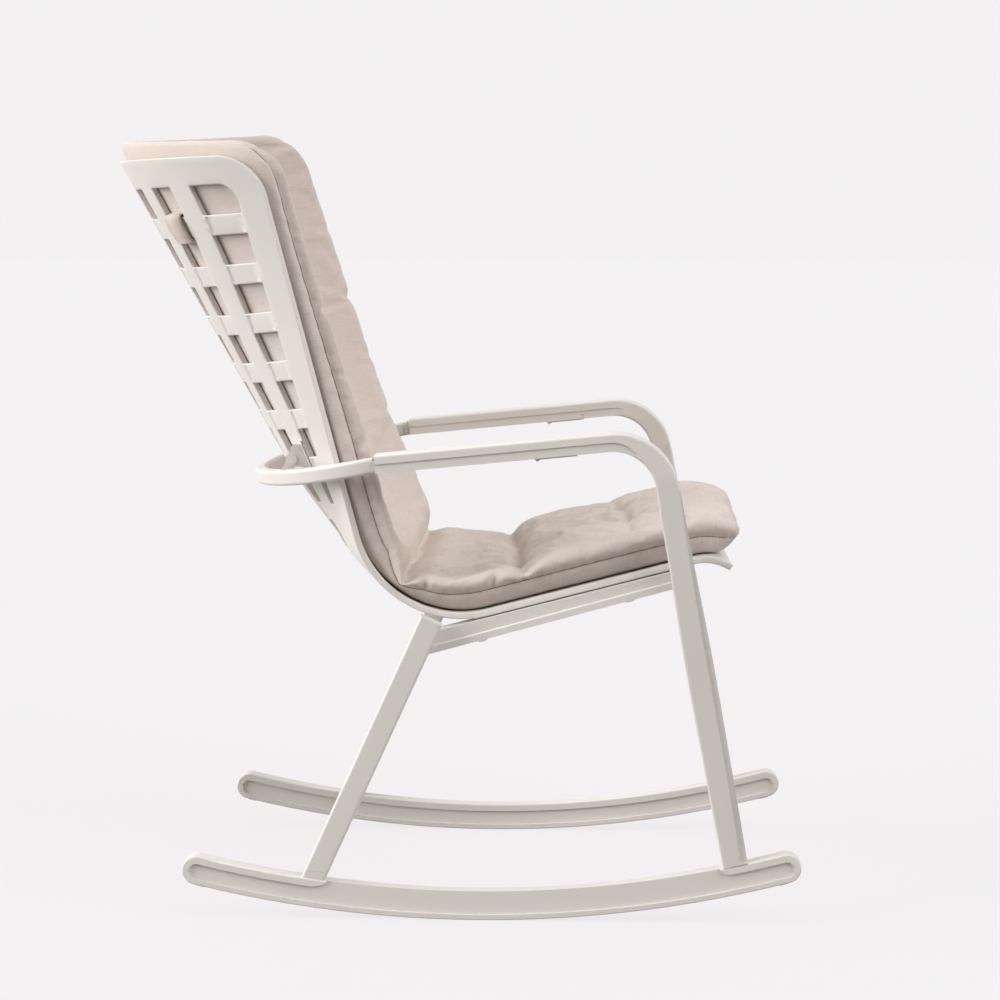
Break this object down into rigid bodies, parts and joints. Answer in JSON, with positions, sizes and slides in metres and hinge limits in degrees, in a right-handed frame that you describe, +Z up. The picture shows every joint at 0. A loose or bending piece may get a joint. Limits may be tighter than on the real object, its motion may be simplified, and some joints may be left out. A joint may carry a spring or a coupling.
{
  "type": "rocking chair",
  "caption": "outdoor rocking chair of moulded resin: curved rockers, bent armrest legs, a lattice shell whose high wrapped back reclines with a rear hoop, release levers and a loose pad",
  "frame": {"origin": "on the floor under the middle of the chair's width and depth", "axes": "+Z up, the sitter faces -Y, +X to the sitter's left"},
  "size_m": [0.665, 1.0253, 1.1396],
  "materials": {
    "frame_resin": "satin moulded resin, warm off-white",
    "shell_resin": "satin moulded resin, warm off-white",
    "lever_resin": "satin moulded resin",
    "pad_fabric": "slub weave, greige",
    "strap_webbing": "flat woven strap",
    "fastener_steel": "zinc plated",
    "cross_bar_steel": "powder coated",
    "bumper_rubber": "matt, grey"
  },
  "bodies": {
    "base": {"foot_screws": "fastener_steel", "front_cross_bar": "cross_bar_steel", "left_front_leg_armrest": "frame_resin", "left_lever_pin": "fastener_steel", "left_rear_leg": "frame_resin", "left_rocker": "frame_resin", "left_side_rail": "frame_resin", "rail_screws": "fastener_steel", "rear_cross_bar": "cross_bar_steel", "right_front_leg_armrest": "frame_resin", "right_lever_pin": "fastener_steel", "right_rear_leg": "frame_resin", "right_rocker": "frame_resin", "right_side_rail": "frame_resin", "rocker_bumpers": "bumper_rubber", "seat_bolts": "fastener_steel", "seat_pad": "pad_fabric", "seat_shell": "shell_resin"},
    "backrest": {"back_shell": "shell_resin", "left_hoop_bracket": "frame_resin", "right_hoop_bracket": "frame_resin", "left_hoop_pin": "fastener_steel", "right_hoop_pin": "fastener_steel", "back_pad": "pad_fabric", "left_pad_strap": "strap_webbing", "right_pad_strap": "strap_webbing"},
    "hoop": {"rear_hoop": "frame_resin"},
    "left_lever": {"left_release_lever": "lever_resin"},
    "right_lever": {"right_release_lever": "lever_resin"}
  },
  "joints": [
    {"name": "recline", "type": "hinge", "parent": "base", "child": "backrest", "pos_m": [0, 0.084, 0.455], "axis": [-1, 0, 0], "range_deg": [0, 10]},
    {"name": "hoop_pivot", "type": "hinge", "parent": "backrest", "child": "hoop", "pos_m": [0.215, 0.23, 0.666], "axis": [-1, 0, 0], "range_deg": [-3, 0]},
    {"name": "left_lever_pivot", "type": "hinge", "parent": "base", "child": "left_lever", "pos_m": [0.309, -0.18531, 0.68884], "axis": [1, 0, 0], "range_deg": [0, 8], "stiffness_Nm_per_rad": 0.4},
    {"name": "right_lever_pivot", "type": "hinge", "parent": "base", "child": "right_lever", "pos_m": [-0.309, -0.18531, 0.68884], "axis": [1, 0, 0], "range_deg": [0, 8], "stiffness_Nm_per_rad": 0.4}
  ],
  "couplings": [
    {"joint": "hoop_pivot", "follows": "recline", "ratio": -0.26}
  ]
}
